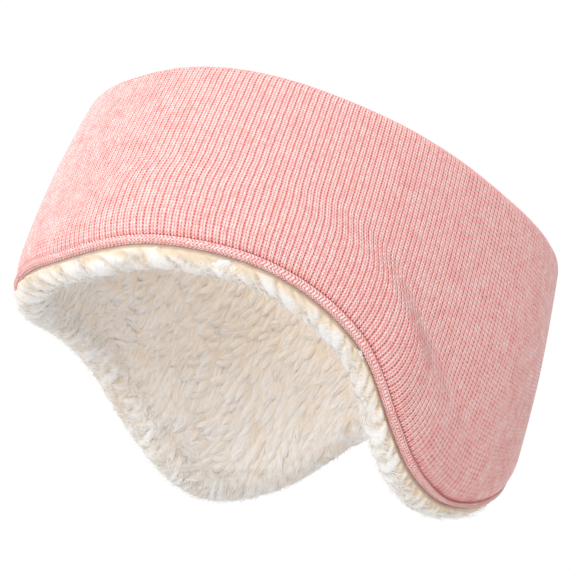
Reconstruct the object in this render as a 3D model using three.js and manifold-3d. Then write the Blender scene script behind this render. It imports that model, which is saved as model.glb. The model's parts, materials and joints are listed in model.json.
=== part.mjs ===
// Knitted ear-warmer headband: a rib-knit cloth with a rolled top edge and two ear flaps, a stitched
// binding along its lower hem, and a curly fleece lining. Millimetres, +Z up to the crown, brow at -Y,
// the wearer's left ear at +X. The origin is the middle of the head hollow, level with the middle of
// the band at the brow.
import * as THREE from 'three';
import { mergeVertices } from 'three/addons/utils/BufferGeometryUtils.js';
import Module from 'manifold-3d';

const wasm = await Module();
wasm.setup();

// ---- driving dimensions ----

// Plan of the outer face: half-widths of a rounded oval, and how square the oval is.
const PLAN = { side: 83.7, brow: 120.2, nape: 114.8, power: 2.4 };

// Heights of the lower hem and of the top edge, in even steps of angle from the brow to the nape, for
// both sides of the head. The hem of the wearer's right side sags below them before the temple, in a
// bell-shaped curve whose middle and spread are in degrees.
const SECTIONS = [
  { angle: 0, hem: -42, top: 41.5 },
  { angle: 20, hem: -36.5, top: 41.5 },
  { angle: 40, hem: -35, top: 43 },
  { angle: 60, hem: -43.5, top: 46.5 },
  { angle: 80, hem: -61.5, top: 49.5 },
  { angle: 100, hem: -72, top: 52 },
  { angle: 120, hem: -72, top: 55.5 },
  { angle: 140, hem: -55, top: 59.5 },
  { angle: 160, hem: -15.5, top: 62 },
  { angle: 180, hem: 2.5, top: 63 },
];
const SECTION_STEP = SECTIONS[1].angle - SECTIONS[0].angle;
const SAG = { angle: -26, spread: 20, depth: 10 };

// Growth of the plan with height, as a share of its radius for each millimetre.
const TAPER = { brow: -0.0007, ear: 0.0003, nape: -0.0001, right: 0.0005 };

const BELLY = 1.7;          // the cloth swells this far between hem and top

// An ear flap leans in by its tuck where its hem is a reach below the brow's, and by up to most times
// that further down. The lean is deepest at the hem and fades out within 1 / fade of the height.
const FLAP = { tuck: 9, reach: 40, most: 1.2, fade: 1.6 };
const CURL = { left: 3.7, right: 1.8, height: 13 }; // the cloth above the hem curls inwards

const FOLD = 16;            // thickness of the rolled top edge, across both legs of the cloth
const ROLL = { outer: 12, rise: 7 };                // outer part and height of the roll
const CLOTH = 2.4;          // thickness of the knitted cloth
const TURN_IN = 10;         // length of the cloth's leg inside the top

// Where the cloth is sampled: shares of its wall's height, and degrees round the roll's two parts.
const WALL_ROWS = [0, 0.1, 0.26, 0.58, 1];
const ROLL_TURNS = { outer: [30, 60, 90], inner: [50, 0] };

// Section of the binding: its corners, its outward bulge between two rounded edges, and the slope of
// its underside.
const BINDING = { height: 3.4, width: 3.6, corner: 1, bulge: 0.6, round: 1.1, tilt: 0.3 };

// The lining with its backing: its thickness, how far it hangs below the hem, the share of its face that
// falls straight, the height above the hem where that ends, the degrees that the rounded edge turns
// through, and how much of the hem's curl it follows.
const LINING = { wall: 13.5, drop: 4, straight: 0.86, ease: 2, swing: 150, curl: 0.6 };
const FACE_ROWS = [0, 0.4, LINING.straight, 0.93, 0.99];
const GAP = 0.3;            // clearance between neighbouring pieces

// Rows of fleece locks, from the turned-in leg of the cloth (0) to the lower edge (1). Each row turns
// by an angle from straight down, so that the lowest locks lie along the hem.
const PILE = [
  { along: 0.05, count: 13, size: 0.9, turned: 0 },
  { along: 0.22, count: 13, size: 1, turned: 10 },
  { along: 0.4, count: 13, size: 1, turned: -10 },
  { along: 0.58, count: 13, size: 0.9, turned: 20 },
  { along: 0.77, count: 17, size: 0.6, turned: 65 },
  { along: 0.91, count: 19, size: 0.45, turned: 80 },
];
const LOCK = { length: 32, width: 23, height: 5, root: 2.5, sink: 0.5 };
// Sections of a lock from its root to its tip: place along it, half width and height as shares.
const LOCK_SECTIONS = [
  { forward: 0, half: 0.45, top: 0.3 },
  { forward: 0.45, half: 1, top: 1 },
  { forward: 0.82, half: 0.62, top: 0.75 },
];
const PILE_REACH = 34;      // no lock stands further than this off the outer face or below the hem

const COLUMNS = 72;         // sections round the head
const MERGE = 0.002;        // vertices nearer than this are one

// ---- the form of the band ----

const radians = THREE.MathUtils.degToRad;
const mix = THREE.MathUtils.lerp;
const clamp01 = (value) => THREE.MathUtils.clamp(value, 0, 1);

// The same angle between -180 and 180 degrees.
const turn = (angle) => THREE.MathUtils.euclideanModulo(angle + 180, 360) - 180;

// Height of the hem or top at an angle from the brow: a smooth curve through the rows of the table.
function height(column, angle) {
  const row = Math.abs(turn(angle)) / SECTION_STEP;
  const last = SECTIONS.length - 1;
  const index = Math.min(Math.floor(row), last - 1);
  const t = row - index;
  const at = (i) => SECTIONS[last - Math.abs(last - Math.abs(i))][column];
  const [a, b, c, d] = [at(index - 1), at(index), at(index + 1), at(index + 2)];
  return 0.5 * (2 * b + (c - a) * t + (2 * a - 5 * b + 4 * c - d) * t ** 2
    + (3 * b - a - 3 * c + d) * t ** 3);
}

// How much an angle belongs to the brow, ears, nape and to the wearer's right side, each 0 to 1.
function shares(angle) {
  const forward = Math.cos(radians(angle));
  const brow = Math.max(forward, 0) ** 2;
  const nape = Math.max(-forward, 0) ** 2;
  const right = THREE.MathUtils.smoothstep(0.5 - 0.5 * Math.sin(radians(angle)), 0, 1);
  return { brow, nape, ear: 1 - brow - nape, right };
}

// Radius of the plan at an angle and height.
function planRadius(angle, z) {
  const sine = Math.sin(radians(angle));
  const cosine = Math.cos(radians(angle));
  const depth = cosine > 0 ? PLAN.brow : PLAN.nape;
  const oval = (Math.abs(sine / PLAN.side) ** PLAN.power
    + Math.abs(cosine / depth) ** PLAN.power) ** (-1 / PLAN.power);
  const part = shares(angle);
  const taper = TAPER.brow * part.brow + TAPER.ear * part.ear + TAPER.nape * part.nape
    + TAPER.right * part.right;
  return oval * (1 + taper * z);
}

// The numbers that a section of the band needs at one angle.
function section(angle) {
  const hem = height('hem', angle) - SAG.depth * Math.exp(-(((turn(angle) - SAG.angle) / SAG.spread) ** 2));
  const top = height('top', angle);
  const shoulder = top - ROLL.rise;
  const flap = THREE.MathUtils.clamp((SECTIONS[0].hem - hem) / FLAP.reach, 0, FLAP.most);
  const curl = mix(CURL.left, CURL.right, shares(angle).right);
  return { angle, hem, top, shoulder, tuck: FLAP.tuck * flap, curl };
}

// How far the middle of the band leans towards the head at a height, most at the tip of a flap.
function lean(at, z) {
  const rise = clamp01((z - at.hem) / (at.shoulder - at.hem));
  return -at.tuck * Math.max(1 - FLAP.fade * rise, 0) ** 2;
}

// Offset of the cloth's outer face from the plan at a height: swollen in the middle, curled at the hem.
function outerOffset(at, z) {
  const rise = clamp01((z - at.hem) / (at.shoulder - at.hem));
  const near = clamp01(1 - (z - at.hem) / CURL.height);
  return BELLY * Math.sin(Math.PI * rise) + lean(at, z) - at.curl * near ** 2;
}

// Point at an angle, an offset outwards from the plan, and a height.
function place(angle, offset, z) {
  const radius = planRadius(angle, z) + offset;
  return new THREE.Vector3(radius * Math.sin(radians(angle)), -radius * Math.cos(radians(angle)), z);
}

// Closed body of a section carried round the head. The outline is a list of [offset, height] pairs that
// runs up the outer side and down the inner side. Each four-sided patch is split from its lower corner
// in one column to its upper corner in the next, so that facing sides of two pieces run parallel.
function ringGeometry(outline) {
  const columns = [];
  for (let column = 0; column < COLUMNS; column += 1) {
    const angle = 360 * column / COLUMNS;
    columns.push(outline(section(angle)).map(([offset, z]) => place(angle, offset, z)));
  }
  const count = columns[0].length;
  const faces = [];
  columns.forEach((points, column) => {
    const here = column * count;
    const next = ((column + 1) % COLUMNS) * count;
    points.forEach((point, row) => {
      const above = (row + 1) % count;
      const [a, b, c, d] = [here + row, next + row, next + above, here + above];
      if (points[above].z >= point.z) faces.push(a, b, c, a, c, d);
      else faces.push(a, b, d, b, c, d);
    });
  });
  return closedGeometry(columns.flat(), faces);
}

// Geometry of a closed surface from its points and the corners of its triangles.
function closedGeometry(points, faces) {
  const geometry = new THREE.BufferGeometry();
  geometry.setAttribute('position', new THREE.Float32BufferAttribute(points.flatMap((p) => p.toArray()), 3));
  geometry.setIndex(faces);
  return geometry;
}

// ---- knitted cloth ----

// Heights at which the wall is sampled, from the cloth's lower edge to the roll.
function wallHeights(at) {
  const start = at.hem + BINDING.height + GAP;
  return WALL_ROWS.map((share) => mix(start, at.shoulder, share));
}

// Path of the cloth's outer face, pushed inwards by a depth: up the wall, over the roll, down the leg.
function clothPath(at, depth) {
  const path = wallHeights(at).map((z) => [outerOffset(at, z) - depth, z]);
  const inner = FOLD - ROLL.outer;
  for (const swing of ROLL_TURNS.outer) {
    path.push([-ROLL.outer + (ROLL.outer - depth) * Math.cos(radians(swing)),
      at.shoulder + (ROLL.rise - depth) * Math.sin(radians(swing))]);
  }
  for (const swing of ROLL_TURNS.inner) {
    path.push([-ROLL.outer - (inner - depth) * Math.cos(radians(swing)),
      at.shoulder + (ROLL.rise - depth) * Math.sin(radians(swing))]);
  }
  path.push([-FOLD + depth, at.shoulder - TURN_IN]);
  return path;
}

function knitShell() {
  return ringGeometry((at) => [...clothPath(at, 0), ...clothPath(at, CLOTH).reverse()]);
}

// ---- stitched binding ----

// A rolled strip below the cloth, as wide as the cloth and its seam, with its corners taken off.
function edgeBinding() {
  const { height: tall, width, corner, bulge, round, tilt } = BINDING;
  return ringGeometry((at) => {
    const low = at.hem;
    const high = at.hem + tall;
    const lowFace = outerOffset(at, low);
    const highFace = outerOffset(at, high);
    const bulged = (rise) => mix(lowFace, highFace, rise / tall) + bulge;
    return [
      [lowFace - corner, low],
      [bulged(round), low + round],
      [bulged(tall - round), high - round],
      [highFace - corner, high],
      [highFace - width + corner, high],
      [highFace - width, high - corner],
      [lowFace - width, low + corner],
      [lowFace - width + corner, low + tilt],
    ];
  });
}

// ---- fleece lining ----

// Outer side of the lining: round the binding, up the cloth, and into the rolled top.
function liningBack(at) {
  const behindCloth = CLOTH + GAP;
  const behindBinding = BINDING.width + GAP;
  const low = at.hem;
  const high = at.hem + BINDING.height;
  const lowFace = outerOffset(at, low);
  const highFace = outerOffset(at, high);
  const crown = ROLL.rise - behindCloth;
  return [
    [lowFace - BINDING.corner, low - GAP],
    [lowFace - behindBinding + BINDING.corner, low + BINDING.tilt - GAP],
    [lowFace - behindBinding, low + BINDING.corner],
    [highFace - behindBinding, high - BINDING.corner],
    [highFace - behindBinding, high + GAP],
    ...wallHeights(at).map((z) => [outerOffset(at, z) - behindCloth, z]),
    [-ROLL.outer, at.shoulder + crown],
    [-FOLD + behindCloth, at.shoulder],
    [-FOLD + behindCloth, at.shoulder - TURN_IN - GAP],
  ];
}

// Face of the fleece towards the head, from the end of the cloth's leg (0) to the lower edge (1).
function liningFace(at, along) {
  const low = at.hem + LINING.ease;
  const wall = Math.min(along / LINING.straight, 1);
  const z = mix(at.shoulder - TURN_IN - 2 * GAP, low, wall);
  const face = -LINING.wall + lean(at, z) - LINING.curl * at.curl * wall ** 4;
  if (along <= LINING.straight) return [face, z];
  const swing = radians(LINING.swing * (along - LINING.straight) / (1 - LINING.straight));
  const centre = mix(face, outerOffset(at, at.hem) - BINDING.corner, 0.5);
  const reach = centre - face;
  return [centre - reach * Math.cos(swing), low - (LINING.drop + LINING.ease) * Math.sin(swing)];
}

function liningBacking() {
  return ringGeometry((at) => [...liningBack(at), ...FACE_ROWS.map((along) => liningFace(at, along))]);
}

// Room that the locks may fill: in front of the lining's back, and out under the binding.
function pileRoom() {
  return ringGeometry((at) => {
    const back = liningBack(at);
    const floor = at.hem - PILE_REACH;
    return [[back[0][0], floor], ...back, [-PILE_REACH, back[back.length - 1][1]], [-PILE_REACH, floor]];
  });
}

// Place on the fleece's face, with its directions down the face, round the head and off the face.
function pileFrame(angle, along) {
  const step = 0.02;
  const point = (a, v) => place(a, ...liningFace(section(a), v));
  const down = point(angle, along + step).sub(point(angle, along - step)).normalize();
  const around = point(angle + 1, along).sub(point(angle - 1, along)).normalize();
  const off = around.clone().cross(down).normalize();
  return { root: point(angle, along), down, around: down.clone().cross(off), off };
}

// One lock of fleece: a leaf-shaped tuft rooted in the backing, lying along the flow of the pile.
function lockGeometry(angle, along, flow, size) {
  const at = pileFrame(angle, along);
  const run = at.down.clone().multiplyScalar(Math.cos(flow)).addScaledVector(at.around, Math.sin(flow));
  const side = run.clone().cross(at.off);
  const point = (forward, across, up) => at.root.clone().addScaledVector(run, forward * size)
    .addScaledVector(side, across * size).addScaledVector(at.off, up);
  const ring = ({ forward, half, top }) => {
    const [length, width, rise] = [LOCK.length * forward, LOCK.width / 2 * half, LOCK.height * size * top];
    return [point(length, -width, -LOCK.sink), point(length, 0, -LOCK.root), point(length, width, -LOCK.sink),
      point(length, 0.5 * width, rise), point(length, -0.5 * width, rise)];
  };
  const points = [...LOCK_SECTIONS.flatMap(ring), point(LOCK.length, 0, -LOCK.sink)];
  const count = ring(LOCK_SECTIONS[0]).length;
  const last = points.length - 1;
  const faces = [0, 1, 2, 0, 2, 3, 0, 3, 4];
  for (let start = 0; start < last; start += count) {
    for (let i = 0; i < count; i += 1) {
      const [a, b] = [start + i, start + (i + 1) % count];
      if (start + count < last) faces.push(a, a + count, b + count, a, b + count, b);
      else faces.push(a, last, b);
    }
  }
  return closedGeometry(points, faces);
}

// Manifold solid of a closed geometry, and back.
function solidOf(geometry) {
  return new wasm.Manifold(new wasm.Mesh({
    numProp: 3,
    vertProperties: new Float32Array(geometry.attributes.position.array),
    triVerts: new Uint32Array(geometry.index.array),
  }));
}
function geometryOf(solid) {
  const mesh = solid.getMesh();
  const geometry = new THREE.BufferGeometry();
  geometry.setAttribute('position', new THREE.BufferAttribute(new Float32Array(mesh.vertProperties), 3));
  geometry.setIndex(new THREE.BufferAttribute(new Uint32Array(mesh.triVerts), 1));
  return geometry;
}

// The lining: a padded ring with rows of locks fused to it. Sine waves of each lock's row and column
// scatter it, make it longer or shorter, and lean it in slowly changing directions.
function fleeceLining() {
  let solid = solidOf(liningBacking());
  PILE.forEach(({ along, count, size, turned }, row) => {
    for (let column = 0; column < count; column += 1) {
      const scatter = Math.sin(12.9898 * column + 78.233 * row);
      const angle = 360 * (column + 0.5 * (row % 2) + 0.22 * scatter) / count;
      const rooted = along + 0.03 * Math.sin(7 * column + 3 * row);
      const sway = 40 * Math.sin(3 * radians(angle) + 4 * along) + 15 * scatter;
      const growth = size * (1 + 0.2 * Math.sin(5.3 * column + 2.1 * row));
      solid = solid.add(solidOf(lockGeometry(angle, rooted, radians(turned + sway), growth)));
    }
  });
  return mergeVertices(geometryOf(solid.intersect(solidOf(pileRoom()))), MERGE);
}

const group = new THREE.Group();
function material(color, roughness) {
  return new THREE.MeshStandardMaterial({ color, roughness, metalness: 0 });
}
function addPiece(name, geometry, finish) {
  geometry.computeVertexNormals();
  const mesh = new THREE.Mesh(geometry, finish);
  mesh.name = name;
  group.add(mesh);
}
addPiece('knit_shell', knitShell(), material(0xf0b9b7, 0.85));
addPiece('edge_binding', edgeBinding(), material(0xeaaaa9, 0.85));
addPiece('fleece_lining', fleeceLining(), material(0xf0e6da, 0.95));

export default group;
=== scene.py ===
"""Looks of the knitted ear-warmer headband: ribbed cloth, stitched binding and curly fleece."""

import json
import math

import bpy
import numpy as np
from mathutils import Matrix, Vector

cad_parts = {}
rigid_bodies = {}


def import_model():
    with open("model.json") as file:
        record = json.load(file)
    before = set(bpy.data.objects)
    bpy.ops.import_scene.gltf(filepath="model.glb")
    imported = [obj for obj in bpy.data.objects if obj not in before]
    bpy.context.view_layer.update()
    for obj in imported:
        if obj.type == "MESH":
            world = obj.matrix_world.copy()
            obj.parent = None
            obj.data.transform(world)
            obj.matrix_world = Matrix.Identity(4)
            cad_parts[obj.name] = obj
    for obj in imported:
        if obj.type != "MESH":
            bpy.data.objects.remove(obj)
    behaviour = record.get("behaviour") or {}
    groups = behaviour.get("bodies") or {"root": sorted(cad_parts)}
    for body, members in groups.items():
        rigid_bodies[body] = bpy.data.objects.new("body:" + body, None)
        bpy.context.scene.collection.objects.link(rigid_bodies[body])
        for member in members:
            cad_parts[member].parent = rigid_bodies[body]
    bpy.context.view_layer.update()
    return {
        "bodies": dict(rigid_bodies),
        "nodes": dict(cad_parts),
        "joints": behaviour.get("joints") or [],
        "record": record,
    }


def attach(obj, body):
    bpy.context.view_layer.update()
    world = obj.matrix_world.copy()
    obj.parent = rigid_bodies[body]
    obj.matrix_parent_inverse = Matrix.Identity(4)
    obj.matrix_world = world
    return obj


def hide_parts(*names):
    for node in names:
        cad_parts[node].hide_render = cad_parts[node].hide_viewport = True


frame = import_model()

bl_info = {
    "name": "Knitted Ear Warmer",
    "version": (1, 0, 0),
    "blender": (4, 5, 0),
    "location": "View3D > Sidebar > Ear Warmer",
    "description": "Ribbed cloth, stitched binding and curly fleece of a headband with ear flaps",
    "category": "Add Mesh",
}

BODY = "root"
MM = 0.001

# ---- the form of the band, in millimetres and degrees from the brow ----
#
# The solids have the same form, but for a binding of one height and a lean that starts abruptly.

PLAN = {"side": 83.7, "brow": 120.2, "nape": 114.8, "power": 2.4}
SECTION_STEP = 20
HEM = np.array([-42, -36.5, -35, -43.5, -61.5, -72, -72, -55, -15.5, 2.5])
TOP = np.array([41.5, 41.5, 43, 46.5, 49.5, 52, 55.5, 59.5, 62, 63])
SAG = {"angle": -26, "spread": 20, "depth": 10}
TAPER = {"brow": -0.0007, "ear": 0.0003, "nape": -0.0001, "right": 0.0005}
BELLY = 1.7
FLAP = {"tuck": 9, "reach": 40, "ease": 0.3, "tip": 0.75, "fade": 1.6}
CURL = {"left": 3.7, "right": 1.8, "height": 13}
FOLD, CLOTH, TURN_IN, GAP = 16, 2.4, 10, 0.3
ROLL = {"outer": 12, "rise": 7}
BINDING = {"width": 3.6, "corner": 1, "bulge": 0.6}
BINDING_HEIGHT = np.array([2.4, 2.5, 2.9, 3.4, 3.1, 2.0, 1.6, 2.4, 3.0, 3.0])
LINING = {"wall": 13.5, "drop": 4, "bend": 0.86}


def smooth(x):
    """Smooth step: 0 below 0, 1 above 1, and 3x^2 - 2x^3 between."""
    x = np.clip(x, 0, 1)
    return x * x * (3 - 2 * x)


def mix(a, b, share):
    """Straight blend from a, at share 0, to b, at share 1."""
    return a + (b - a) * share


def turned(angle):
    """The same angle between -180 and 180 degrees."""
    return (angle + 180) % 360 - 180


def along_table(table, angle):
    """Height at an angle: a Catmull-Rom curve through a table's rows, mirrored at brow and nape."""
    row = np.abs(turned(angle)) / SECTION_STEP
    last = len(table) - 1
    index = np.minimum(np.floor(row).astype(int), last - 1)
    t = row - index
    a, b, c, d = (table[last - np.abs(last - np.abs(index + k))] for k in (-1, 0, 1, 2))
    return 0.5 * (2 * b + (c - a) * t + (2 * a - 5 * b + 4 * c - d) * t**2 + (3 * b - a - 3 * c + d) * t**3)


def hem_height(angle):
    """Height of the lower hem: the table's curve, less a bell-shaped sag at the right temple."""
    sag = SAG["depth"] * np.exp(-(((turned(angle) - SAG["angle"]) / SAG["spread"]) ** 2))
    return along_table(HEM, angle) - sag


def binding_height(angle):
    """Height of the binding that shows, a curve through its table.

    It is widest on the slopes of the flaps and turns under at their tips."""
    return along_table(BINDING_HEIGHT, angle)


def right_share(angle):
    """How much an angle belongs to the wearer's right side, 0 to 1."""
    return smooth(0.5 - 0.5 * np.sin(np.radians(angle)))


def plan_radius(angle, z):
    """Radius of the rounded oval |x/a|^p + |y/b|^p = 1 at an angle, grown with height by the taper."""
    sine, cosine = np.sin(np.radians(angle)), np.cos(np.radians(angle))
    depth = np.where(cosine > 0, PLAN["brow"], PLAN["nape"])
    p = PLAN["power"]
    oval = (np.abs(sine / PLAN["side"]) ** p + np.abs(cosine / depth) ** p) ** (-1 / p)
    brow, nape = np.maximum(cosine, 0) ** 2, np.maximum(-cosine, 0) ** 2
    taper = (TAPER["brow"] * brow + TAPER["nape"] * nape + TAPER["ear"] * (1 - brow - nape)
             + TAPER["right"] * right_share(angle))
    return oval * (1 + taper * z)


def shoulder_height(angle):
    """Height where the wall ends and the roll begins: the top's curve, less the roll's rise."""
    return along_table(TOP, angle) - ROLL["rise"]


def rise_share(angle, z):
    """Height between hem, 0, and shoulder, 1."""
    hem = hem_height(angle)
    return np.clip((z - hem) / (shoulder_height(angle) - hem), 0, 1)


def lean(angle, z):
    """Offset of the whole band towards the head, a square law that is deepest at a flap's tip.

    It starts smoothly where the hem passes below the brow's, as d^2 / (d + e) of the depth d, and is the
    tuck times d at the tip's own depth."""
    deep = np.maximum(HEM[0] - hem_height(angle), 0) / FLAP["reach"]
    started = deep**2 / (deep + FLAP["ease"]) * (FLAP["tip"] + FLAP["ease"]) / FLAP["tip"]
    return -FLAP["tuck"] * started * np.maximum(1 - FLAP["fade"] * rise_share(angle, z), 0) ** 2


def curl_depth(angle):
    """How far the curl draws the cloth in at the hem, from its left to its right value."""
    return mix(CURL["left"], CURL["right"], right_share(angle))


def outer_offset(angle, z):
    """Offset of the cloth's face: a half sine wave of swell, the lean, and the curl above the hem."""
    near = np.clip(1 - (z - hem_height(angle)) / CURL["height"], 0, 1)
    swell = BELLY * np.sin(np.pi * rise_share(angle, z))
    return swell + lean(angle, z) - curl_depth(angle) * near**2


def place(angle, offset, z):
    """Point (r sin a, -r cos a, z), where r is the plan's radius plus the offset."""
    angle, offset, z = np.broadcast_arrays(angle, offset, z)
    radius = plan_radius(angle, z) + offset
    return np.stack([radius * np.sin(np.radians(angle)), -radius * np.cos(np.radians(angle)), z], -1)


def arc_table(height_at):
    """Angles and the arc length to each, along the outer face at the heights that are given."""
    angles = np.arange(0, 360.25, 0.25)
    points = place(angles, 0, height_at(angles))
    steps = np.linalg.norm(np.diff(points, axis=0), axis=1)
    return angles, np.concatenate([[0], np.cumsum(steps)])


def hem_slope(angle):
    """Rise of the hem for each millimetre round the band."""
    step = 1.0
    ahead, behind = place(angle + step, 0, 0), place(angle - step, 0, 0)
    return (hem_height(angle + step) - hem_height(angle - step)) / np.linalg.norm(ahead - behind, axis=-1)


def unit(vectors):
    """Vectors divided by their own lengths."""
    return vectors / np.linalg.norm(vectors, axis=-1, keepdims=True)


def wave_noise(x, y, seed, octaves=3):
    """Smooth noise about -1 to 1: a sum of plane sine waves in random directions."""
    rng = np.random.default_rng(seed)
    total, size = np.zeros(np.broadcast(x, y).shape), 0.0
    for octave in range(octaves):
        for _ in range(4):
            heading, phase = rng.uniform(0, 2 * np.pi, 2)
            pitch = 2**octave * rng.uniform(0.7, 1.3)
            total = total + np.sin(pitch * (x * np.cos(heading) + y * np.sin(heading)) + phase) / 2**octave
        size += 2 / 2**octave
    return total / size


# ---- meshes ----

def new_mesh(name, points, faces):
    """Mesh object of points in millimetres and an array of faces that all have as many corners."""
    mesh = bpy.data.meshes.new(name)
    mesh.vertices.add(len(points))
    mesh.vertices.foreach_set("co", (points * MM).astype(np.float32).ravel())
    mesh.loops.add(faces.size)
    mesh.loops.foreach_set("vertex_index", faces.astype(np.int32).ravel())
    mesh.polygons.add(len(faces))
    mesh.polygons.foreach_set("loop_start", np.arange(0, faces.size, faces.shape[1], dtype=np.int32))
    mesh.polygons.foreach_set("use_smooth", np.ones(len(faces), bool))
    mesh.update(calc_edges=True)
    piece = bpy.data.objects.new(name, mesh)
    bpy.context.scene.collection.objects.link(piece)
    return piece


def add_uv(piece, name, corners):
    """UV map from a value for each face corner."""
    layer = piece.data.uv_layers.new(name=name)
    layer.data.foreach_set("uv", corners.astype(np.float32).ravel())


def add_values(piece, name, values):
    """Float attribute with a value for each point."""
    attribute = piece.data.attributes.new(name, "FLOAT", "POINT")
    attribute.data.foreach_set("value", np.ascontiguousarray(values, np.float32).ravel())


def add_vectors(piece, name, vectors):
    """Vector attribute with three numbers for each point."""
    attribute = piece.data.attributes.new(name, "FLOAT_VECTOR", "POINT")
    attribute.data.foreach_set("vector", np.ascontiguousarray(vectors, np.float32).ravel())


def ring_piece(name, points, u, v):
    """Closed ring of a grid of points, rows along the section and columns round the head.

    Both ways wrap round. u has one value more than the columns and v one more than the rows, so that
    the pattern runs on over the joins."""
    rows, columns = points.shape[:2]
    row, column = np.meshgrid(np.arange(rows), np.arange(columns), indexing="ij")
    corners = [(0, 0), (0, 1), (1, 1), (1, 0)]
    faces = np.stack([(row + i) % rows * columns + (column + j) % columns for i, j in corners], -1)
    piece = new_mesh(name, points.reshape(-1, 3), faces.reshape(-1, 4))
    uv = np.stack([np.stack([u[column + j], v[row + i]], -1) for i, j in corners], 2)
    add_uv(piece, "pattern", uv)
    return piece


def finish_piece(piece, material):
    """Material and body of a piece."""
    piece.data.materials.append(material)
    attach(piece, BODY)
    return piece


# ---- knitted cloth ----

SEAM = {"under": 0.5, "tuck": 0.55, "run": 1.6}  # the cloth's edge dips in behind the binding
STITCH_SLANT = 0.9  # how far round, in stitches, a stitch leans across its row
# Heights of a wale's columns, in rib depths: the groove between wales, a leg, the dip and the other leg.
RIB = np.array([-1, 0, -0.4, 0])
RIB_FADE = {"edge": 0.3, "roll": 0.5}  # share of the ribs' depth at the cloth's edge and on the roll
# How the wales bend above the hem. The jog ends behind the flaps' tips, where the steeper hem would
# press the wales together.
DRAPE = {"jog": 13, "jog_top": 33, "jog_run": 12, "jog_end": 100, "jog_fade": 20, "sweep": 20}


def wale_shift(angle, above):
    """How far round the band a wale lies from its straight line, at a height above the hem.

    The shift is -m (F J S((t - e) / r) - (w / 2) (1 - e / w)^2), where m is the hem's slope, e the height,
    S a smooth step and F 1 in front of the flaps' tips and 0 behind them: a jog along a soft ridge, then
    a sweep that meets the hem at a right angle."""
    front = 1 - smooth((np.abs(turned(angle)) - DRAPE["jog_end"]) / DRAPE["jog_fade"])
    jog = DRAPE["jog"] * front * smooth((DRAPE["jog_top"] - above) / DRAPE["jog_run"])
    sweep = DRAPE["sweep"] / 2 * np.clip(1 - above / DRAPE["sweep"], 0, 1) ** 2
    return -hem_slope(angle) * (jog - sweep)


def cloth_section(angle, wall, roll, leg):
    """Offsets and heights of the cloth's face, rows up the wall, over the roll and down the leg.

    angle is a row of angles, or a grid with a row for each of the wall's rows, whose last row the roll
    and leg keep. wall, roll and leg are the numbers of rows."""
    start = binding_height(angle) - SEAM["under"]
    share = np.linspace(0, 1, wall)[:, None]
    z = mix(hem_height(angle) + start, shoulder_height(angle), share)
    above = z - hem_height(angle) - binding_height(angle)
    offset = outer_offset(angle, z) - SEAM["tuck"] * np.clip(1 - above / SEAM["run"], 0, 2) ** 2
    angle = np.broadcast_to(angle, z.shape)[-1:]
    shoulder = shoulder_height(angle)
    swing = np.linspace(0, np.pi, roll + 1)[1:, None]
    inner = FOLD - ROLL["outer"]
    reach = np.where(swing < np.pi / 2, ROLL["outer"], inner)
    over = -ROLL["outer"] + reach * np.cos(swing) + 0 * angle
    crown = shoulder + ROLL["rise"] * np.sin(swing)
    down = shoulder - TURN_IN * np.linspace(0, 1, leg + 1)[1:, None]
    return np.vstack([offset, over, -FOLD + 0 * down]), np.vstack([z, crown, down])


def knit_cloth(settings):
    """The ribbed cloth: a grid whose columns follow the wales, four to each, at the heights in RIB.

    The inner face lies the cloth's thickness behind the outer one. The pattern's v counts courses: the
    length up the section, as a mean round the band, over the height of a stitch."""
    per_wale, wall, roll, leg, back = 4, 50, 11, 6, 9
    columns = settings.wales * per_wale
    angles, lengths = arc_table(lambda a: 0 * a)
    straight = np.interp(np.arange(columns) / columns * lengths[-1], lengths, angles)
    degree = np.interp(straight, angles, np.gradient(lengths, angles))
    start = hem_height(straight) + binding_height(straight)
    share = np.linspace(0, 1, wall)[:, None]
    above = mix(start, shoulder_height(straight), share) - start
    bent = straight + wale_shift(straight, above) / degree
    offset, z = cloth_section(bent, wall, roll, leg)
    angle = np.vstack([bent, np.repeat(bent[-1:], roll + leg, 0)])
    face = place(angle, offset, z)
    normal = unit(np.cross(np.roll(face, -1, 1) - np.roll(face, 1, 1), np.gradient(face, axis=0)))
    rib = RIB[np.arange(columns) % per_wale]
    fade = np.where(np.arange(len(face)) < wall, 1, RIB_FADE["roll"])
    fade[0] = RIB_FADE["edge"]
    face = face + normal * (settings.rib_depth / MM * rib[:, None] * fade[:, None, None])
    lining = np.linspace(len(face) - 1, 0, back).round().astype(int)
    inner = place(angle, offset, z)[lining] - normal[lining] * CLOTH
    points = np.vstack([face, inner])
    run = np.linalg.norm(np.diff(face[:, ::40], axis=0), axis=2).mean(1)
    course = np.concatenate([[0], np.cumsum(run)]) / (settings.course / MM)
    v = np.concatenate([course, course[lining], [0]])
    return ring_piece("knit_cloth", points, np.arange(columns + 1) / per_wale, v)


# ---- stitched binding ----

STITCH_LEVEL = 0.7  # the relief that lies on the binding's own section
HOLD = 1.5  # the binding takes the cloth's offset, and keeps it the same below this height


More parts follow.
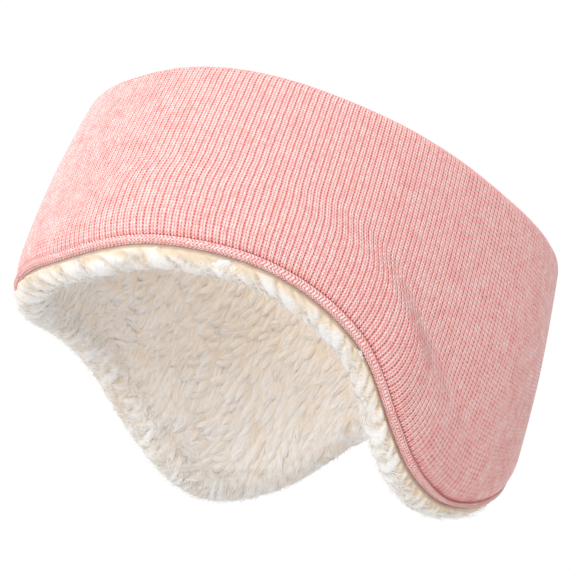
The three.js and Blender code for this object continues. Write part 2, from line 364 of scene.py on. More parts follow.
def edge_binding(settings):
    """The rolled hem: a rounded section carried round the band, with rows of slanted stitches on it.

    The section is a rounded box, |cos|^q by |sin|^q, with its points evenly spaced. The relief is
    (0.5 + 0.5 sin(pi c)) (0.3 + 0.7 sin(pi f)), where c is the place across a row and f the fraction
    of u + s c."""
    per_stitch, per_row, rows, square = 3, 4, 9, 0.6
    columns = settings.stitches * per_stitch
    angles, lengths = arc_table(hem_height)
    angle = np.interp(np.arange(columns) / columns * lengths[-1], lengths, angles)[None]
    tall, width, bulge = binding_height(angle), BINDING["width"], BINDING["bulge"]
    turn = np.linspace(0, 2 * np.pi, 721) + np.pi / 2
    across = np.sign(np.cos(turn)) * np.abs(np.cos(turn)) ** square
    upward = np.sign(np.sin(turn)) * np.abs(np.sin(turn)) ** square
    strides = np.hypot(np.diff(across * (width + bulge)), np.diff(upward * tall.mean()))
    length = np.concatenate([[0], np.cumsum(strides)])
    even = np.linspace(0, length[-1], rows * per_row, endpoint=False)
    across, upward = (np.interp(even, length, values)[:, None] for values in (across, upward))
    hem = hem_height(angle)
    z = hem + tall * (0.5 + 0.5 * upward)
    face = outer_offset(angle, np.maximum(z, hem + HOLD))
    points = place(angle, face + bulge - (width + bulge) * (0.5 - 0.5 * across), z)
    normal = unit(np.cross(np.roll(points, -1, 1) - np.roll(points, 1, 1),
                           np.roll(points, -1, 0) - np.roll(points, 1, 0)))
    v = np.arange(rows * per_row)[:, None] / per_row
    u = (np.arange(columns) / per_stitch)[None]
    slant = STITCH_SLANT * np.where(np.floor(v) % 2, -1, 1)
    row_crown = 0.5 + 0.5 * np.sin(np.pi * (v % 1))
    stitch_crown = 0.3 + 0.7 * np.sin(np.pi * ((u + slant * (v % 1)) % 1))
    relief = row_crown * stitch_crown
    points = points + normal * (settings.relief / MM * (relief - STITCH_LEVEL))[..., None]
    return ring_piece("edge_binding_strip", points, np.arange(columns + 1) / per_stitch,
                      np.linspace(0, rows, rows * per_row + 1))


# ---- fleece ----

LIP = {"in": 1.1, "up": 0.7}  # the backing's edge ends this far in from the cloth, up inside the binding
FLOW = {"lean": 34, "swing": 40}  # degrees of the pile's direction from straight down
LOCK_RINGS = np.array([0, 0.25, 0.5, 0.7, 0.85, 0.95, 1])
ROOT = {"sunk": 0.7, "rise": 0.3}  # how deep a lock's root lies in the backing, and how far it comes out
LUMPS = {"floor": (1.0, 0.2), "height": (0.7, 1.8)}  # on the wall, and along the lower edge


def billow(x, y, seed):
    """Puffs with narrow creases between them: the root of the size of a smooth noise, from 0 to 1."""
    return np.sqrt(np.minimum(np.abs(wave_noise(x, y, seed)) * 1.6, 1))


def lining_face(angle, along):
    """Offset and height of the fleece's backing towards the head.

    along runs from 0 at the turned-in leg of the cloth to 1 at the lower edge. It is a straight fall,
    then an arc of 150 degrees that rounds the lower edge of the lining."""
    hem, bend = hem_height(angle), LINING["bend"]
    wall = np.clip(along / bend, 0, 1)
    z = mix(shoulder_height(angle) - TURN_IN - GAP, hem + 2, wall)
    face = -LINING["wall"] + lean(angle, z) - 0.6 * curl_depth(angle) * wall**4
    swing = np.radians(150) * np.clip((along - bend) / (1 - bend), 0, 1)
    centre = mix(face, outer_offset(angle, hem) - BINDING["corner"], 0.5)
    return centre - (centre - face) * np.cos(swing), z - (LINING["drop"] + 2) * np.sin(swing)


def on_lining(angle, along):
    """Point on the face of the backing."""
    return place(angle, *lining_face(angle, along))


def lining_frame(angle, along):
    """Point on the backing, unit directions down it, round the head and off it, and the two rates.

    The rates are the millimetres that one degree and the whole of along amount to at that point."""
    fall = (on_lining(angle, along + 0.01) - on_lining(angle, along - 0.01)) / 0.02
    turn = (on_lining(angle + 0.5, along) - on_lining(angle - 0.5, along))
    down = unit(fall)
    off = unit(np.cross(turn, down))
    rates = np.linalg.norm(turn, axis=-1), np.linalg.norm(fall, axis=-1)
    return on_lining(angle, along), down, np.cross(down, off), off, rates


def fleece_backing():
    """The padded backing under the locks, a closed ring with lumps of smooth noise, higher at the rim.

    Its face ends in a lip that closes up under the binding."""
    columns, front, back = 860, 50, 8
    angle = np.arange(columns)[None] * 360 / columns
    along = mix(np.linspace(0, 1, front), smooth(np.linspace(0, 1, front)), 0.3)[:, None]
    along = 1 - (1 - along) ** 1.4
    rim = smooth((along - 0.78) / 0.1)
    swept = angle + along * 55
    lumps = mix(billow(swept * 1.6, along * 40, seed=3), billow(swept * 1.3, along * 38, seed=5), rim)
    point, _, _, off, _ = lining_frame(angle + 0 * along, along + 0 * angle)
    raised = mix(*LUMPS["floor"], rim) + mix(*LUMPS["height"], rim) * lumps * (along < 1)
    face = point + off * raised[..., None]
    low = hem_height(angle) - GAP
    lip = place(angle, outer_offset(angle, hem_height(angle)) - LIP["in"], low + LIP["up"])
    share = np.linspace(0, 1, back)[:, None]
    z = mix(low, shoulder_height(angle) + 2, share)
    behind = np.where(z < low + BINDING_HEIGHT.max() + 2 * GAP, BINDING["width"] + 2 * GAP, CLOTH + GAP)
    rear = place(angle, outer_offset(angle, z) - behind, z)
    cap = place(angle, -FOLD + CLOTH + GAP, shoulder_height(angle))
    points = np.vstack([rear, cap, face, lip])
    count, hidden = len(points), len(rear) + 1
    piece = ring_piece("fleece_backing", points, np.arange(columns + 1) / 4, np.arange(count + 1) / 2)
    # Painted shade: reach and ridge are low in the creases between lumps; reach is also lower further
    # inside the band, and falls below 0 as a painted shadow along the lip under the binding.
    reach = mix(0.05, 0.15, rim) + 0.8 * lumps ** (1 + rim) - 0.6 * smooth((along - 0.97) / 0.03)
    reach = reach * openness(along)
    add_values(piece, "reach", np.pad(reach, ((hidden, 1), (0, 0)), constant_values=-1))
    add_values(piece, "ridge", np.pad(0.35 + 0.7 * lumps, ((hidden, 1), (0, 0))))
    tilt = np.radians(FLOW["lean"])
    beside, fall = angle * 1.6 + 0 * along, along * 100 + 0 * angle
    fibre = np.stack([beside * np.cos(tilt) - fall * np.sin(tilt),
                      beside * np.sin(tilt) + fall * np.cos(tilt), 0 * fall], -1)
    add_vectors(piece, "fibre", np.pad(fibre, ((hidden, 1), (0, 0), (0, 0))))
    return piece


def openness(along):
    """How open the pile is to the light: 0.6 at the top of the band, rising to 1 towards its lower edge."""
    return mix(0.6, 1, smooth(along / 0.85))


def lock_places(beside, below, low, high, rng):
    """Angle and place along the backing of each lock between two places along it.

    They are a jittered grid, with columns that are even round the band and rows that are even down it.
    beside and below are the distances between columns and between rows."""
    angles, lengths = arc_table(lambda a: 0 * a)
    round_count = int(0.9 * lengths[-1] / beside)
    column_angle = np.interp((np.arange(round_count) + 0.5) / round_count * lengths[-1], lengths, angles)
    track = on_lining(column_angle[:, None], np.linspace(low, high, 40)[None])
    down = np.linalg.norm(np.diff(track, axis=1), axis=2).sum(1)
    counts = np.maximum(np.round(down / below), 1).astype(int)
    column = np.repeat(np.arange(round_count), counts)
    order = np.arange(len(column)) - np.repeat(np.cumsum(counts) - counts, counts)
    jitter = rng.uniform(-0.32, 0.32, (2, len(column)))
    share = (order + 0.5 + jitter[0] + 0.5 * (column % 2 - 0.5)) / counts[column]
    return column_angle[column] + 360 / round_count * jitter[1], mix(low, high, share)


def flow_angle(angle, along):
    """Direction of the pile, in degrees from straight down: slow waves round a steady lean."""
    return FLOW["lean"] + FLOW["swing"] * wave_noise(np.radians(angle) * 6, along * 6, seed=11)


def tube_triangles(rings, corners):
    """Triangles of a tube of rings with a fan of triangles over each end."""
    i, j = np.meshgrid(np.arange(rings - 1), np.arange(corners), indexing="ij")
    here, beside = i * corners + j, i * corners + (j + 1) % corners
    sides = [np.stack([here, beside, beside + corners], -1),
             np.stack([here, beside + corners, here + corners], -1)]
    j = np.arange(1, corners - 1)
    last = (rings - 1) * corners
    ends = [np.stack([0 * j, j + 1, j], -1), np.stack([last + 0 * j, last + j, last + j + 1], -1)]
    return np.concatenate([side.reshape(-1, 3) for side in sides] + ends)


def pile_path(angle, along, turn, steps):
    """Points and frames along the pile: paths that start at a place and follow the backing.

    turn is the direction from straight down, in degrees, and steps the distances to each point. The
    frame is the directions forward, to the side and off the backing."""
    points, frames, places = [], [], []
    turn = np.radians(turn)
    for step in np.diff(steps, axis=1, prepend=0).T:
        point, down, around, off, (degree, whole) = lining_frame(angle, along)
        angle = angle + step * np.sin(turn) / degree
        along = np.minimum(along + step * np.cos(turn) / whole, 0.99)
        point, down, around, off, _ = lining_frame(angle, along)
        run = down * np.cos(turn)[:, None] + around * np.sin(turn)[:, None]
        points.append(point)
        frames.append(np.stack([run, np.cross(run, off), off]))
        places.append(along)
    return np.stack(points, 1), np.stack(frames, 2), np.stack(places, 1)


def bodies(name, points, pattern):
    """One mesh of many like bodies, from their points and the triangles of one of them."""
    count, each = points.shape[:2]
    faces = (np.arange(count) * each)[:, None, None] + pattern
    return new_mesh(name, points.reshape(-1, 3), faces.reshape(-1, 3))


class Locks:
    """Paths and random sizes of every lock of the pile, in millimetres."""

    def __init__(self, settings, rng):
        angle, along = lock_places(settings.beside / MM, settings.below / MM, 0.012, 0.84, rng)
        self.angle, self.count = angle, len(angle)
        grow = rng.uniform(0.8, 1.2, (self.count, 1))
        self.length = settings.lock_length / MM * grow
        turn = flow_angle(angle, along) + rng.normal(0, 9, self.count)
        self.path, self.frames, reached = pile_path(angle, along, turn, self.length * LOCK_RINGS)
        self.edge = smooth((reached - 0.78) / 0.2)
        self.open = openness(reached)
        self.width = settings.lock_width / MM / 2 * grow
        self.lift = settings.lock_lift / MM * rng.uniform(0.6, 1.15, (self.count, 1))
        self.bend = self.length * rng.normal(0, 0.1, (self.count, 1))
        self.phase = rng.uniform(0, 1, (self.count, 1))
        self.dome = settings.lock_dome / MM

    def surface(self, s, x, ridge=0.0, ragged=0.0):
        """Points on every lock at places s along it and x across it, each with a row of its own.

        Along a lock, s from 0 to 1, it rises by s^0.8, so that its end lies over the next one's root, and
        its width follows the root of 1 - s^5. Across it, x from -1 to 1, it is 1 - 0.8 x^2 high. s may go
        on past 1, straight ahead. ridge and ragged move the points off and along the lock."""
        index = np.clip(np.searchsorted(LOCK_RINGS, s, "right") - 1, 0, len(LOCK_RINGS) - 2)
        share = (s - LOCK_RINGS[index]) / (LOCK_RINGS[index + 1] - LOCK_RINGS[index])
        path = mix(self.path[:, index], self.path[:, index + 1], share[:, None])
        edge = mix(self.edge[:, index], self.edge[:, index + 1], share)
        frames = self.frames[:, :, index]
        s = np.minimum(s, 1)
        taper = np.where(s < 0.3, 0.6 + 1.333 * s, 1) * np.sqrt(1 - 0.9 * s**5)
        tip = np.sqrt(1 - 0.97 * np.clip((s - 0.75) / 0.25, 0, 1) ** 2)
        forward = self.length * (0.05 * ragged - 0.1 * x**2 + 0.04 * ridge) * s**3
        wave = 0.3 * np.sin(2 * np.pi * (0.9 * s + self.phase))
        aside = self.width * x * taper + self.bend * s**2 + wave
        lift = self.lift * (1 - 0.65 * edge) * s**0.8 * mix(0.6, 1, tip)
        grown = smooth(s / 0.45)
        dome = self.dome * taper * tip * (1 - 0.8 * x**2)
        up = lift - ROOT["sunk"] + grown * (ROOT["rise"] + dome + ridge * np.sqrt(taper * tip))
        return path + np.einsum("kij,kijd->ijd", np.stack([forward, aside, up]), frames)


def fleece_locks(name, locks, here, settings, rng):
    """Soft petals of pile, each a domed bundle with a blunt ragged end and uneven grooves along it."""
    top = np.linspace(-1, 1, 11)
    rings, corners = len(LOCK_RINGS), len(top) + 2
    shaded_groove = np.where(np.arange(len(top)) % 2, -1, 0.3) * rng.uniform(0.2, 1.0, (locks.count, len(top)))
    ragged = rng.uniform(-1, 1, (locks.count, corners))
    across = np.append(top, [0.6, -0.6])
    points = np.empty((locks.count, rings, corners, 3))
    for corner, x in enumerate(across):
        under = corner >= len(top)
        ridge = 0.0 if under else settings.strand / MM * shaded_groove[:, [corner]]
        points[:, :, corner] = locks.surface(LOCK_RINGS, x, ridge, ragged[:, [corner]])
        if under:
            points[:, :, corner] -= locks.frames[2] * locks.dome
    each = rings * corners
    piece = bodies(name, points[here].reshape(-1, each, 3), tube_triangles(rings, corners))
    total = here.sum()
    shaded_groove = np.pad(shaded_groove, ((0, 0), (0, 2)))[here, None]
    s, x = LOCK_RINGS[None, :, None], across[None, None]
    # Painted shade: reach is low at the roots and further inside the band; ridge is low on the sides and
    # undersides of each lock and in its grooves.
    add_values(piece, "reach", np.broadcast_to(s * locks.open[here, :, None], (total, rings, corners)))
    ridge = np.where(np.arange(corners) < len(top), 1 - 0.8 * x**2 + 0.3 * shaded_groove, -0.3)
    add_values(piece, "ridge", np.broadcast_to(ridge, (total, rings, corners)))
    fibre = [values[here, None] for values in (locks.width, locks.length, 20 * locks.phase)]
    add_vectors(piece, "fibre", np.stack(np.broadcast_arrays(fibre[0] * x, fibre[1] * s, fibre[2]), -1))
    return piece


def prisms(name, path, side, off, width, reach):
    """Fine pointed fibres: a three-sided prism along each path of three points."""
    corner = np.radians([90, 210, 330])[:, None]
    thick = (width / 2 * np.array([1, 0.8, 0.15]))[:, None, None]
    ring = side[:, :, None] * np.cos(corner) + off[:, :, None] * np.sin(corner)
    points = path[:, :, None] + thick * ring
    piece = bodies(name, points.reshape(len(path), 9, 3), tube_triangles(3, 3))
    piece.data.shade_flat()
    add_values(piece, "reach", np.full(len(path) * 9, reach))
    add_values(piece, "ridge", np.ones(len(path) * 9))
    add_vectors(piece, "fibre", np.zeros((len(path) * 9, 3)))
    return piece


def fleece_wisps(locks, settings, rng):
    """Fine fibres that lie along each lock and stand out past its end."""
    paths, sides, offs = [], [], []
    for wisp in range(settings.wisps):
        start = mix(0.45, 0.8, (wisp + 0.5) / settings.wisps)
        s = start + 0.36 * np.array([0, 0.5, 1])
        x = rng.uniform(-0.85, 0.85, (locks.count, 1))
        path = locks.surface(s, x)
        nearest = np.clip(np.searchsorted(LOCK_RINGS, s), 0, len(LOCK_RINGS) - 1)
        side, off = (frame[:, nearest] for frame in locks.frames[1:])
        stand = rng.uniform(0.0, 0.8, (locks.count, 1, 1)) * np.array([-0.2, 0.5, 1])[:, None]
        drift = rng.normal(0, 0.6, (locks.count, 1, 1)) * np.array([0, 0.3, 1])[:, None]
        paths.append(path + off * stand + side * drift)
        sides.append(side)
        offs.append(off)
    path, side, off = (np.concatenate(parts) for parts in (paths, sides, offs))
    return prisms("fleece_wisps", path, side, off, settings.fuzz_width / MM, 0.6)


def fleece_fuzz(settings, rng):
    """Short fine fibres that stand off the rounded lower edge."""
    spacing = settings.fuzz_spacing / MM
    angle, along = lock_places(spacing, spacing, 0.8, 0.97, rng)
    count = len(angle)
    turn = flow_angle(angle, along) + rng.normal(0, 35, count)
    length = settings.fuzz_length / MM * rng.uniform(0.5, 1.3, (count, 1))
    s = np.array([0, 0.5, 1])
    path, frames, _ = pile_path(angle, along, turn, length * s * 0.8)
    stand = (rng.uniform(0.2, 0.8, (count, 1)) * length * s * (1.3 - 0.3 * s) + 0.8)[..., None]
    path = path + frames[2] * stand
    return prisms("fleece_fuzz", path, frames[1], frames[2], settings.fuzz_width / MM, 1.0)


# ---- materials ----

def put(tree, kind, inputs=(), **settings):
    """New node with its settings, and its sockets set or linked by name or number."""
    node = tree.nodes.new(kind)
    for key, value in settings.items():
        setattr(node, key, value)
    for key, value in dict(inputs).items():
        if isinstance(value, bpy.types.NodeSocket):
            tree.links.new(value, node.inputs[key])
        else:
            node.inputs[key].default_value = value
    return node


def calc(tree, operation, *values):
    """Math node with numbers or sockets as its inputs."""
    return put(tree, "ShaderNodeMath", enumerate(values), operation=operation).outputs[0]


def ramp(tree, value, low, high, out_low=0.0, out_high=1.0):
    """A value from one range to another, smoothly, and clamped."""
    return put(tree, "ShaderNodeMapRange", {0: value, 1: low, 2: high, 3: out_low, 4: out_high},
               interpolation_type="SMOOTHSTEP").outputs[0]


def blend(tree, share, first, second):
    """Mix of two colours."""
    node = put(tree, "ShaderNodeMix", data_type="RGBA")
    for socket, value in zip((node.inputs[0], node.inputs[6], node.inputs[7]), (share, first, second)):
        if isinstance(value, bpy.types.NodeSocket):
            tree.links.new(value, socket)
        else:
            socket.default_value = value
    return node.outputs[2]


def group(name, inputs, outputs):
    """Empty shader node group with named sockets, and its input and output nodes."""
    tree = bpy.data.node_groups.new(name, "ShaderNodeTree")
    for label, kind in inputs:
        tree.interface.new_socket(label, in_out="INPUT", socket_type=kind)
    for label, kind in outputs:
        tree.interface.new_socket(label, in_out="OUTPUT", socket_type=kind)
    return tree, tree.nodes.new("NodeGroupInput"), tree.nodes.new("NodeGroupOutput")


def stitch_group():
    """Knit stitches from a map counted in wales and courses: relief, a mask of painted shade and a tone
    for each leg.

    Each wale has two legs that slant up and away from its middle like a V. Relief is 1 on the crown of
    a leg's yarn and 0 where it dives under the next. The groove output is painted shade: the groove
    between wales, darkest in a dot at each course, and fainter in the dip between the legs."""
    tree, given, out = group(
        "Knit Stitches",
        [("Map", "NodeSocketVector"), ("Slant", "NodeSocketFloat"), ("Row Depth", "NodeSocketFloat")],
        [("Relief", "NodeSocketFloat"), ("Groove Shade", "NodeSocketFloat"), ("Tone", "NodeSocketFloat")])
    split = put(tree, "ShaderNodeSeparateXYZ", {0: given.outputs["Map"]})
    wale, course = split.outputs[0], split.outputs[1]
    beside = calc(tree, "ABSOLUTE", calc(tree, "MULTIPLY_ADD", calc(tree, "FRACT", wale), 2.0, -1.0))
    leg = calc(tree, "SINE", calc(tree, "MULTIPLY", beside, math.pi))
    phase = calc(tree, "MULTIPLY_ADD", beside, given.outputs["Slant"], course)
    yarn = calc(tree, "SINE", calc(tree, "MULTIPLY", calc(tree, "FRACT", phase), math.pi))
    crown = calc(tree, "SUBTRACT", 1.0, calc(tree, "MULTIPLY", given.outputs["Row Depth"],
                                             calc(tree, "SUBTRACT", 1.0, calc(tree, "POWER", leg, 0.6))))
    relief = calc(tree, "MULTIPLY", crown, calc(tree, "MULTIPLY_ADD", yarn, 0.75, 0.25))
    # Painted shade: the groove between wales and, fainter, the dip between the legs, darkest where the yarn
    # dives under at each course.
    between = calc(tree, "MAXIMUM", ramp(tree, beside, 0.5, 0.9), ramp(tree, beside, 0.3, 0.02, 0.0, 0.65))
    notch = calc(tree, "SINE", calc(tree, "MULTIPLY", calc(tree, "FRACT", course), math.pi))
    shaded_groove = calc(tree, "MULTIPLY", between, ramp(tree, notch, 0.95, 0.4, 0.3, 1.0))
    cell = put(tree, "ShaderNodeCombineXYZ", {
        0: calc(tree, "FLOOR", calc(tree, "MULTIPLY", wale, 2.0)), 1: calc(tree, "FLOOR", phase)})
    tone = put(tree, "ShaderNodeTexWhiteNoise", {"Vector": cell.outputs[0]}, noise_dimensions="2D")
    tree.links.new(relief, out.inputs["Relief"])
    tree.links.new(shaded_groove, out.inputs["Groove Shade"])
    tree.links.new(tone.outputs["Value"], out.inputs["Tone"])
    return tree


def new_material(name, **shader_values):
    """Material with its Principled shader, whose constants are set on the shader's own sockets."""
    material = bpy.data.materials.new(name)
    material.use_nodes = True
    tree = material.node_tree
    shader = tree.nodes["Principled BSDF"]
    for key, value in shader_values.items():
        shader.inputs[key.replace("_", " ")].default_value = value
    return material, tree, shader


def binding_map(tree, wale, course):
    """Map of the binding's slanted stitches for the stitch pattern: half a wale to each row."""
    pair = calc(tree, "MULTIPLY", course, 0.5)
    return put(tree, "ShaderNodeCombineXYZ", {0: pair, 1: wale})


def knit_material(name, settings, stitches, braided):
    """Pink yarn with a painted highlight on the crowns of the stitches, which random tone pales as well,
    painted shade in dotted grooves between the wales and in the stitch holes of the first courses, and
    a soft fuzz.

    The binding has the same stitches with their wales laid along the hem, two of its rows to each, and
    painted shade where its stitches dip."""
    material, tree, shader = new_material(
        name, Roughness=0.9, Specular_IOR_Level=0.1, Sheen_Weight=0.2, Sheen_Roughness=0.4,
        Sheen_Tint=(1.0, 0.4, 0.38, 1))
    uv = put(tree, "ShaderNodeSeparateXYZ", {0: put(tree, "ShaderNodeUVMap", uv_map="pattern").outputs[0]})
    spot = put(tree, "ShaderNodeTexCoord").outputs["Object"]
    wobble = put(tree, "ShaderNodeTexNoise", {"Vector": spot, "Scale": 220.0, "Detail": 2.0})
    shift = put(tree, "ShaderNodeVectorMath", {0: wobble.outputs["Color"], 1: (0.5, 0.5, 0.5)},
                operation="SUBTRACT")
    if braided:
        straight = binding_map(tree, uv.outputs[0], uv.outputs[1])
    else:
        straight = put(tree, "ShaderNodeCombineXYZ", {0: uv.outputs[0], 1: uv.outputs[1]})
    loose = (0.5, 1.4, 0.0) if braided else (0.25, 0.7, 0.0)
    bent = put(tree, "ShaderNodeVectorMath", {0: shift.outputs[0], 1: loose, 2: straight.outputs[0]},
               operation="MULTIPLY_ADD")
    knit = put(tree, "ShaderNodeGroup", node_tree=stitches)
    knit.inputs["Slant"].default_value = STITCH_SLANT
    knit.inputs["Row Depth"].default_value = 0.35 if braided else 1.0
    tree.links.new(bent.outputs[0], knit.inputs["Map"])
    relief, shaded_groove = knit.outputs["Relief"], knit.outputs["Groove Shade"]
    grain = put(tree, "ShaderNodeTexNoise",
                {"Vector": spot, "Scale": 800.0, "Detail": 2.0, "Roughness": 0.7})
    if braided:
        # Painted shade on the binding where its stitches dip.
        shaded_groove = ramp(tree, relief, 0.85, 0.2, 0.0, 0.75)
    else:
        # Painted shade in a row of stitch holes just above the binding.
        hole_shade = calc(tree, "MULTIPLY", ramp(tree, uv.outputs[1], 2.2, 1.4), ramp(tree, relief, 0.6, 0.1))
        shaded_groove = calc(tree, "MAXIMUM", shaded_groove, hole_shade)
    # Painted highlight: the crowns of the stitches, where light falls, turn pale; tone, grain and cloud
    # noise pale the yarn at random as well.
    light = calc(tree, "ADD", calc(tree, "MULTIPLY", relief, 0.5),
                 calc(tree, "MULTIPLY", knit.outputs["Tone"], 0.3))
    cloud = put(tree, "ShaderNodeTexNoise", {"Vector": spot, "Scale": 90.0, "Detail": 2.0})
    light = calc(tree, "MULTIPLY_ADD", grain.outputs["Fac"], 0.9, light)
    light = calc(tree, "MULTIPLY_ADD", cloud.outputs["Fac"], 0.25, light)
    pale = blend(tree, ramp(tree, light, 0.7, 1.35), tuple(settings.yarn), tuple(settings.highlight))
    # The groove colour is painted shade, laid over the yarn by the groove mask.
    tree.links.new(blend(tree, shaded_groove, pale, tuple(settings.shaded_groove)), shader.inputs["Base Color"])
    height = calc(tree, "MULTIPLY_ADD", grain.outputs["Fac"], 0.4, relief)
    bump = put(tree, "ShaderNodeBump", {"Height": height, "Distance": settings.bump, "Strength": 0.8})
    tree.links.new(bump.outputs[0], shader.inputs["Normal"])
    return material


def fleece_material(name, settings):
    """Cream pile with painted shade, streaked along the fibres: beige in its depths, at the roots and on
    the sides and undersides of the locks and further inside the band, nearly white on its crowns, and
    a deeper tan as painted shadow where it goes in under the binding.
    """
    material, tree, shader = new_material(
        name, Roughness=0.95, Specular_IOR_Level=0.1, Sheen_Weight=0.5, Sheen_Roughness=0.6)
    spot = put(tree, "ShaderNodeTexCoord").outputs["Object"]
    cloud = put(tree, "ShaderNodeTexNoise", {"Vector": spot, "Scale": 70.0, "Detail": 3.0})
    reach, ridge = (put(tree, "ShaderNodeAttribute", attribute_name=word).outputs["Fac"]
                    for word in ("reach", "ridge"))
    fibre = put(tree, "ShaderNodeAttribute", attribute_name="fibre").outputs["Vector"]
    stretched = put(tree, "ShaderNodeVectorMath", {0: fibre, 1: (1.1, 0.13, 1.0)}, operation="MULTIPLY")
    streak = put(tree, "ShaderNodeTexNoise", {"Vector": stretched.outputs[0], "Scale": 1.0, "Detail": 2.0})
    # Painted shade: less of the pile colour where reach or ridge is low; streak and cloud noise also vary
    # it at random.
    share = calc(tree, "MULTIPLY", ramp(tree, reach, 0.0, 0.9, 0.1, 1.0),
                 ramp(tree, ridge, -0.3, 0.8, 0.0, 1.0))
    share = calc(tree, "MULTIPLY", share, ramp(tree, streak.outputs["Fac"], 0.3, 0.6, 0.75, 1.0))
    share = calc(tree, "MULTIPLY", share, ramp(tree, cloud.outputs["Fac"], 0.3, 0.6, 0.75, 1.0))
    open_pile = blend(tree, share, tuple(settings.shade), tuple(settings.pile))
    # Painted shadow: where reach is below 0, just under the binding, the pile turns to the seam colour.
    colour = blend(tree, ramp(tree, reach, -1.0, 0.0), tuple(settings.seam), open_pile)
    tree.links.new(colour, shader.inputs["Base Color"])
    bump = put(tree, "ShaderNodeBump",
               {"Height": streak.outputs["Fac"], "Distance": 0.0006, "Strength": 0.5})
    tree.links.new(bump.outputs[0], shader.inputs["Normal"])
    return material


# ---- stage ----

CAMERA = {"azimuth": 46.7, "elevation": -23.9, "roll": 16.9, "distance": 0.505, "lens": 72.55,
          "shift": (-0.051, -0.0278), "target": (0.0, 0.0, 0.016)}
LIGHT = {"distance": 1.2, "size": 0.9}


def camera_axes():
    """Unit directions right, up and back of the camera, from its azimuth, elevation and roll."""
    azimuth, elevation, roll = (math.radians(CAMERA[key]) for key in ("azimuth", "elevation", "roll"))
    back = Vector((math.sin(azimuth) * math.cos(elevation), -math.cos(azimuth) * math.cos(elevation),
                   math.sin(elevation)))
    level = Vector((math.cos(azimuth), math.sin(azimuth), 0))
    upright = back.cross(level)
    return (math.cos(roll) * level + math.sin(roll) * upright,
            -math.sin(roll) * level + math.cos(roll) * upright, back)


def add_camera():
    """Camera at its distance from the target, straight back along its own axis."""
    right, up, back = camera_axes()
    data = bpy.data.cameras.new("camera")
    data.lens, data.sensor_width = CAMERA["lens"], 36
    data.shift_x, data.shift_y = CAMERA["shift"]
    data.clip_start, data.clip_end = 0.02, 20
    camera = bpy.data.objects.new("camera", data)
    spot = Vector(CAMERA["target"]) + CAMERA["distance"] * back
    camera.matrix_world = Matrix.Translation(spot) @ Matrix((right, up, back)).transposed().to_4x4()
    bpy.context.scene.collection.objects.link(camera)
    bpy.context.scene.camera = camera


def add_light(name, direction, energy):
    """Large round area light in a direction from the object, facing it."""
    data = bpy.data.lights.new(name, "AREA")
    data.shape, data.size, data.energy = "DISK", LIGHT["size"], energy
    light = bpy.data.objects.new(name, data)
    direction = Vector(direction).normalized()
    light.location = Vector(CAMERA["target"]) + LIGHT["distance"] * direction
    light.rotation_mode = "QUATERNION"
    light.rotation_quaternion = direction.to_track_quat("Z", "Y")
    bpy.context.scene.collection.objects.link(light)


def add_world(settings):
    """White surroundings, whose light on the object is softer than the backdrop that shows."""
    world = bpy.data.worlds.new("studio")
    world.use_nodes = True
    tree = world.node_tree
    seen = put(tree, "ShaderNodeLightPath").outputs["Is Camera Ray"]
    background = tree.nodes["Background"]
    background.inputs["Color"].default_value = (1, 1, 1, 1)
    strength = calc(tree, "MULTIPLY_ADD", seen, 1.02 - settings.fill, settings.fill)
    tree.links.new(strength, background.inputs["Strength"])
    bpy.context.scene.world = world


def add_floor(settings):
    """Plain pale floor, a wide round plate."""
    turn = np.linspace(0, 2 * np.pi, 64, endpoint=False)
    rim = 3000 * np.stack([np.cos(turn), np.sin(turn)], -1)
    points = np.column_stack([rim, np.full(64, settings.floor / MM)])
    floor = new_mesh("floor", points, np.arange(64)[None])
    material, _, _ = new_material("pale floor", Roughness=0.8, Base_Color=(0.86, 0.86, 0.87, 1))
    floor.data.materials.append(material)


# ---- settings ----

def length_property(name, description, default):
    """Setting for a length in metres."""
    return bpy.props.FloatProperty(name=name, description=description, default=default,
                                   unit="LENGTH", precision=5)


def colour_property(name, description, default):
    """Setting for a colour with four channels."""
    return bpy.props.FloatVectorProperty(name=name, description=description, default=default,
                                         size=4, min=0, max=1, subtype="COLOR")


class KnitSettings(bpy.types.PropertyGroup):
    wales: bpy.props.IntProperty(name="Wales", description="Ribs of stitches round the band",
                                 default=280, min=40)
    course: length_property("Course", "Height of a stitch", 0.00135)
    rib_depth: length_property("Rib depth", "Depth of the groove between wales", 0.00045)
    bump: length_property("Stitch relief", "Height of the stitches in the bump", 0.0006)
    stitches: bpy.props.IntProperty(name="Binding stitches", description="Stitches round the binding",
                                    default=520, min=40)
    relief: length_property("Binding relief", "Height of the binding's stitches", 0.0004)
    yarn: colour_property("Yarn", "Colour of the yarn", (0.97, 0.49, 0.465, 1))
    # Painted highlight on the stitch crowns, which also pales the yarn at random.
    highlight: colour_property("Yarn highlight", "Colour of the palest fibres", (1.0, 0.79, 0.765, 1))
    # Painted shade: the colour of the grooves, the stitch holes and the binding's dips.
    shaded_groove: colour_property("Groove Shade", "Colour between the wales", (0.72, 0.10, 0.08, 1))


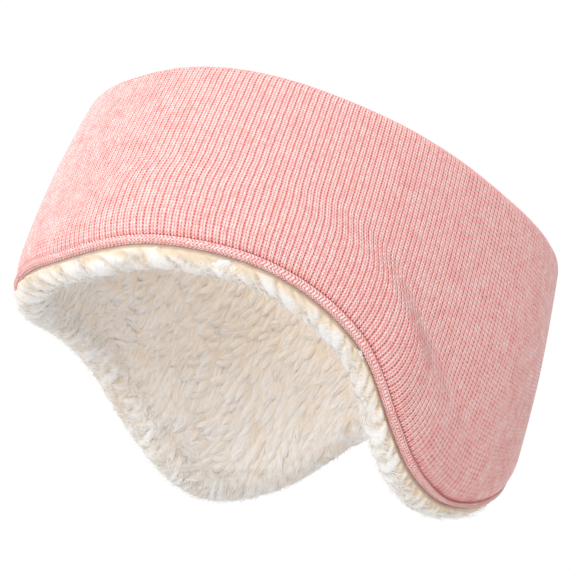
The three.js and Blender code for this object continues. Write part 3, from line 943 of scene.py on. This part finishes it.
class FleeceSettings(bpy.types.PropertyGroup):
    beside: length_property("Lock spacing", "Distance between locks side by side", 0.0029)
    below: length_property("Row spacing", "Distance between rows of locks", 0.0084)
    lock_length: length_property("Lock length", "Length of a lock", 0.0190)
    lock_width: length_property("Lock width", "Widest part of a lock", 0.0056)
    lock_lift: length_property("Lock lift", "How far a lock stands off", 0.0019)
    lock_dome: length_property("Lock dome", "Height of a lock's rounded back", 0.0014)
    strand: length_property("Strand", "Depth of the grooves along a lock", 0.0002)
    fuzz_spacing: length_property("Fuzz spacing", "Distance between edge fibres", 0.00095)
    fuzz_length: length_property("Fuzz length", "Length of the edge fibres", 0.0034)
    fuzz_width: length_property("Fuzz width", "Thickness of the edge fibres", 0.0003)
    wisps: bpy.props.IntProperty(name="Wisps", description="Fine fibres along each lock", default=3, min=1)
    pile: colour_property("Pile", "Colour of the tips", (0.845, 0.838, 0.825, 1))
    # Painted shade in the depths of the pile, also mixed in at random along the streaks.
    shade: colour_property("Pile shade", "Colour in the depths", (0.78, 0.62, 0.44, 1))
    # Painted shadow of the binding on the pile just below it.
    seam: colour_property("Seam shade", "Colour where the pile goes in under the binding",
                          (0.60, 0.49, 0.37, 1))


class StageSettings(bpy.types.PropertyGroup):
    fill: bpy.props.FloatProperty(name="Fill", description="Strength of the light from all round",
                                  default=0.80)
    key: bpy.props.FloatProperty(name="Key", description="Power of the key light",
                                 default=6.7, subtype="POWER")
    top: bpy.props.FloatProperty(name="Top", description="Power of the top light",
                                 default=5.0, subtype="POWER")
    floor: bpy.props.FloatProperty(name="Floor", description="Height of the floor",
                                   default=-0.36, unit="LENGTH")


# ---- operators ----

class EARWARMER_OT_cloth(bpy.types.Operator):
    """Ribbed cloth with its rolled top edge"""
    bl_idname = "earwarmer.cloth"
    bl_label = "Ribbed Cloth"

    def execute(self, context):
        settings = context.scene.earwarmer_knit
        piece = knit_cloth(settings)
        finish_piece(piece, knit_material("pink rib knit", settings, stitch_group(), braided=False))
        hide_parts("knit_shell")
        return {"FINISHED"}


class EARWARMER_OT_binding(bpy.types.Operator):
    """Stitched binding along the lower hem"""
    bl_idname = "earwarmer.binding"
    bl_label = "Stitched Binding"

    def execute(self, context):
        settings = context.scene.earwarmer_knit
        piece = edge_binding(settings)
        stitches = bpy.data.node_groups["Knit Stitches"]
        finish_piece(piece, knit_material("pink binding", settings, stitches, braided=True))
        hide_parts("edge_binding")
        return {"FINISHED"}


class EARWARMER_OT_fleece(bpy.types.Operator):
    """Padded fleece backing with its curly locks"""
    bl_idname = "earwarmer.fleece"
    bl_label = "Curly Fleece"

    def execute(self, context):
        settings = context.scene.earwarmer_fleece
        pile = fleece_material("curly fleece", settings)
        rng = np.random.default_rng(7)
        backing = fleece_backing()
        locks = Locks(settings, rng)
        quarter = np.floor((locks.angle + 45) / 90).astype(int) % 4
        pieces = [fleece_locks("fleece_locks_" + name, locks, quarter == index, settings, rng)
                  for index, name in enumerate(("brow", "left", "nape", "right"))]
        pieces += [fleece_wisps(locks, settings, rng), fleece_fuzz(settings, rng)]
        for piece in (backing, *pieces):
            finish_piece(piece, pile)
            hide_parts("fleece_lining")
        return {"FINISHED"}


class EARWARMER_OT_stage(bpy.types.Operator):
    """Camera, soft studio light, white surroundings and pale floor"""
    bl_idname = "earwarmer.stage"
    bl_label = "Studio Stage"

    def execute(self, context):
        settings = context.scene.earwarmer_stage
        right, up, back = camera_axes()
        add_camera()
        add_world(settings)
        add_light("key", -0.5 * right + 0.65 * up + back, settings.key)
        add_light("top", up + 0.25 * back, settings.top)
        add_floor(settings)
        context.scene.view_settings.view_transform = "Standard"
        return {"FINISHED"}


class EARWARMER_PT_panel(bpy.types.Panel):
    """Lists the pieces of the headband"""
    bl_idname = "EARWARMER_PT_panel"
    bl_label = "Ear Warmer"
    bl_space_type = "VIEW_3D"
    bl_region_type = "UI"
    bl_category = "Ear Warmer"

    def draw(self, context):
        for operator in OPERATORS:
            self.layout.operator(operator.bl_idname)
        for name in SETTINGS:
            settings = getattr(context.scene, name)
            for key in settings.bl_rna.properties.keys():
                if key not in ("rna_type", "name"):
                    self.layout.prop(settings, key)


SETTINGS = {"earwarmer_knit": KnitSettings, "earwarmer_fleece": FleeceSettings,
            "earwarmer_stage": StageSettings}
OPERATORS = (EARWARMER_OT_cloth, EARWARMER_OT_binding, EARWARMER_OT_fleece, EARWARMER_OT_stage)


def register():
    """Registers the classes and puts their settings on the scene."""
    for kind in (*SETTINGS.values(), *OPERATORS, EARWARMER_PT_panel):
        bpy.utils.register_class(kind)
    for name, kind in SETTINGS.items():
        setattr(bpy.types.Scene, name, bpy.props.PointerProperty(type=kind))


def unregister():
    """Takes the settings off the scene and unregisters the classes, last first."""
    for name in SETTINGS:
        delattr(bpy.types.Scene, name)
    for kind in reversed((*SETTINGS.values(), *OPERATORS, EARWARMER_PT_panel)):
        bpy.utils.unregister_class(kind)


def main():
    register()
    bpy.ops.earwarmer.stage()
    bpy.ops.earwarmer.cloth()
    bpy.ops.earwarmer.binding()
    bpy.ops.earwarmer.fleece()


if __name__ == "__main__":
    main()
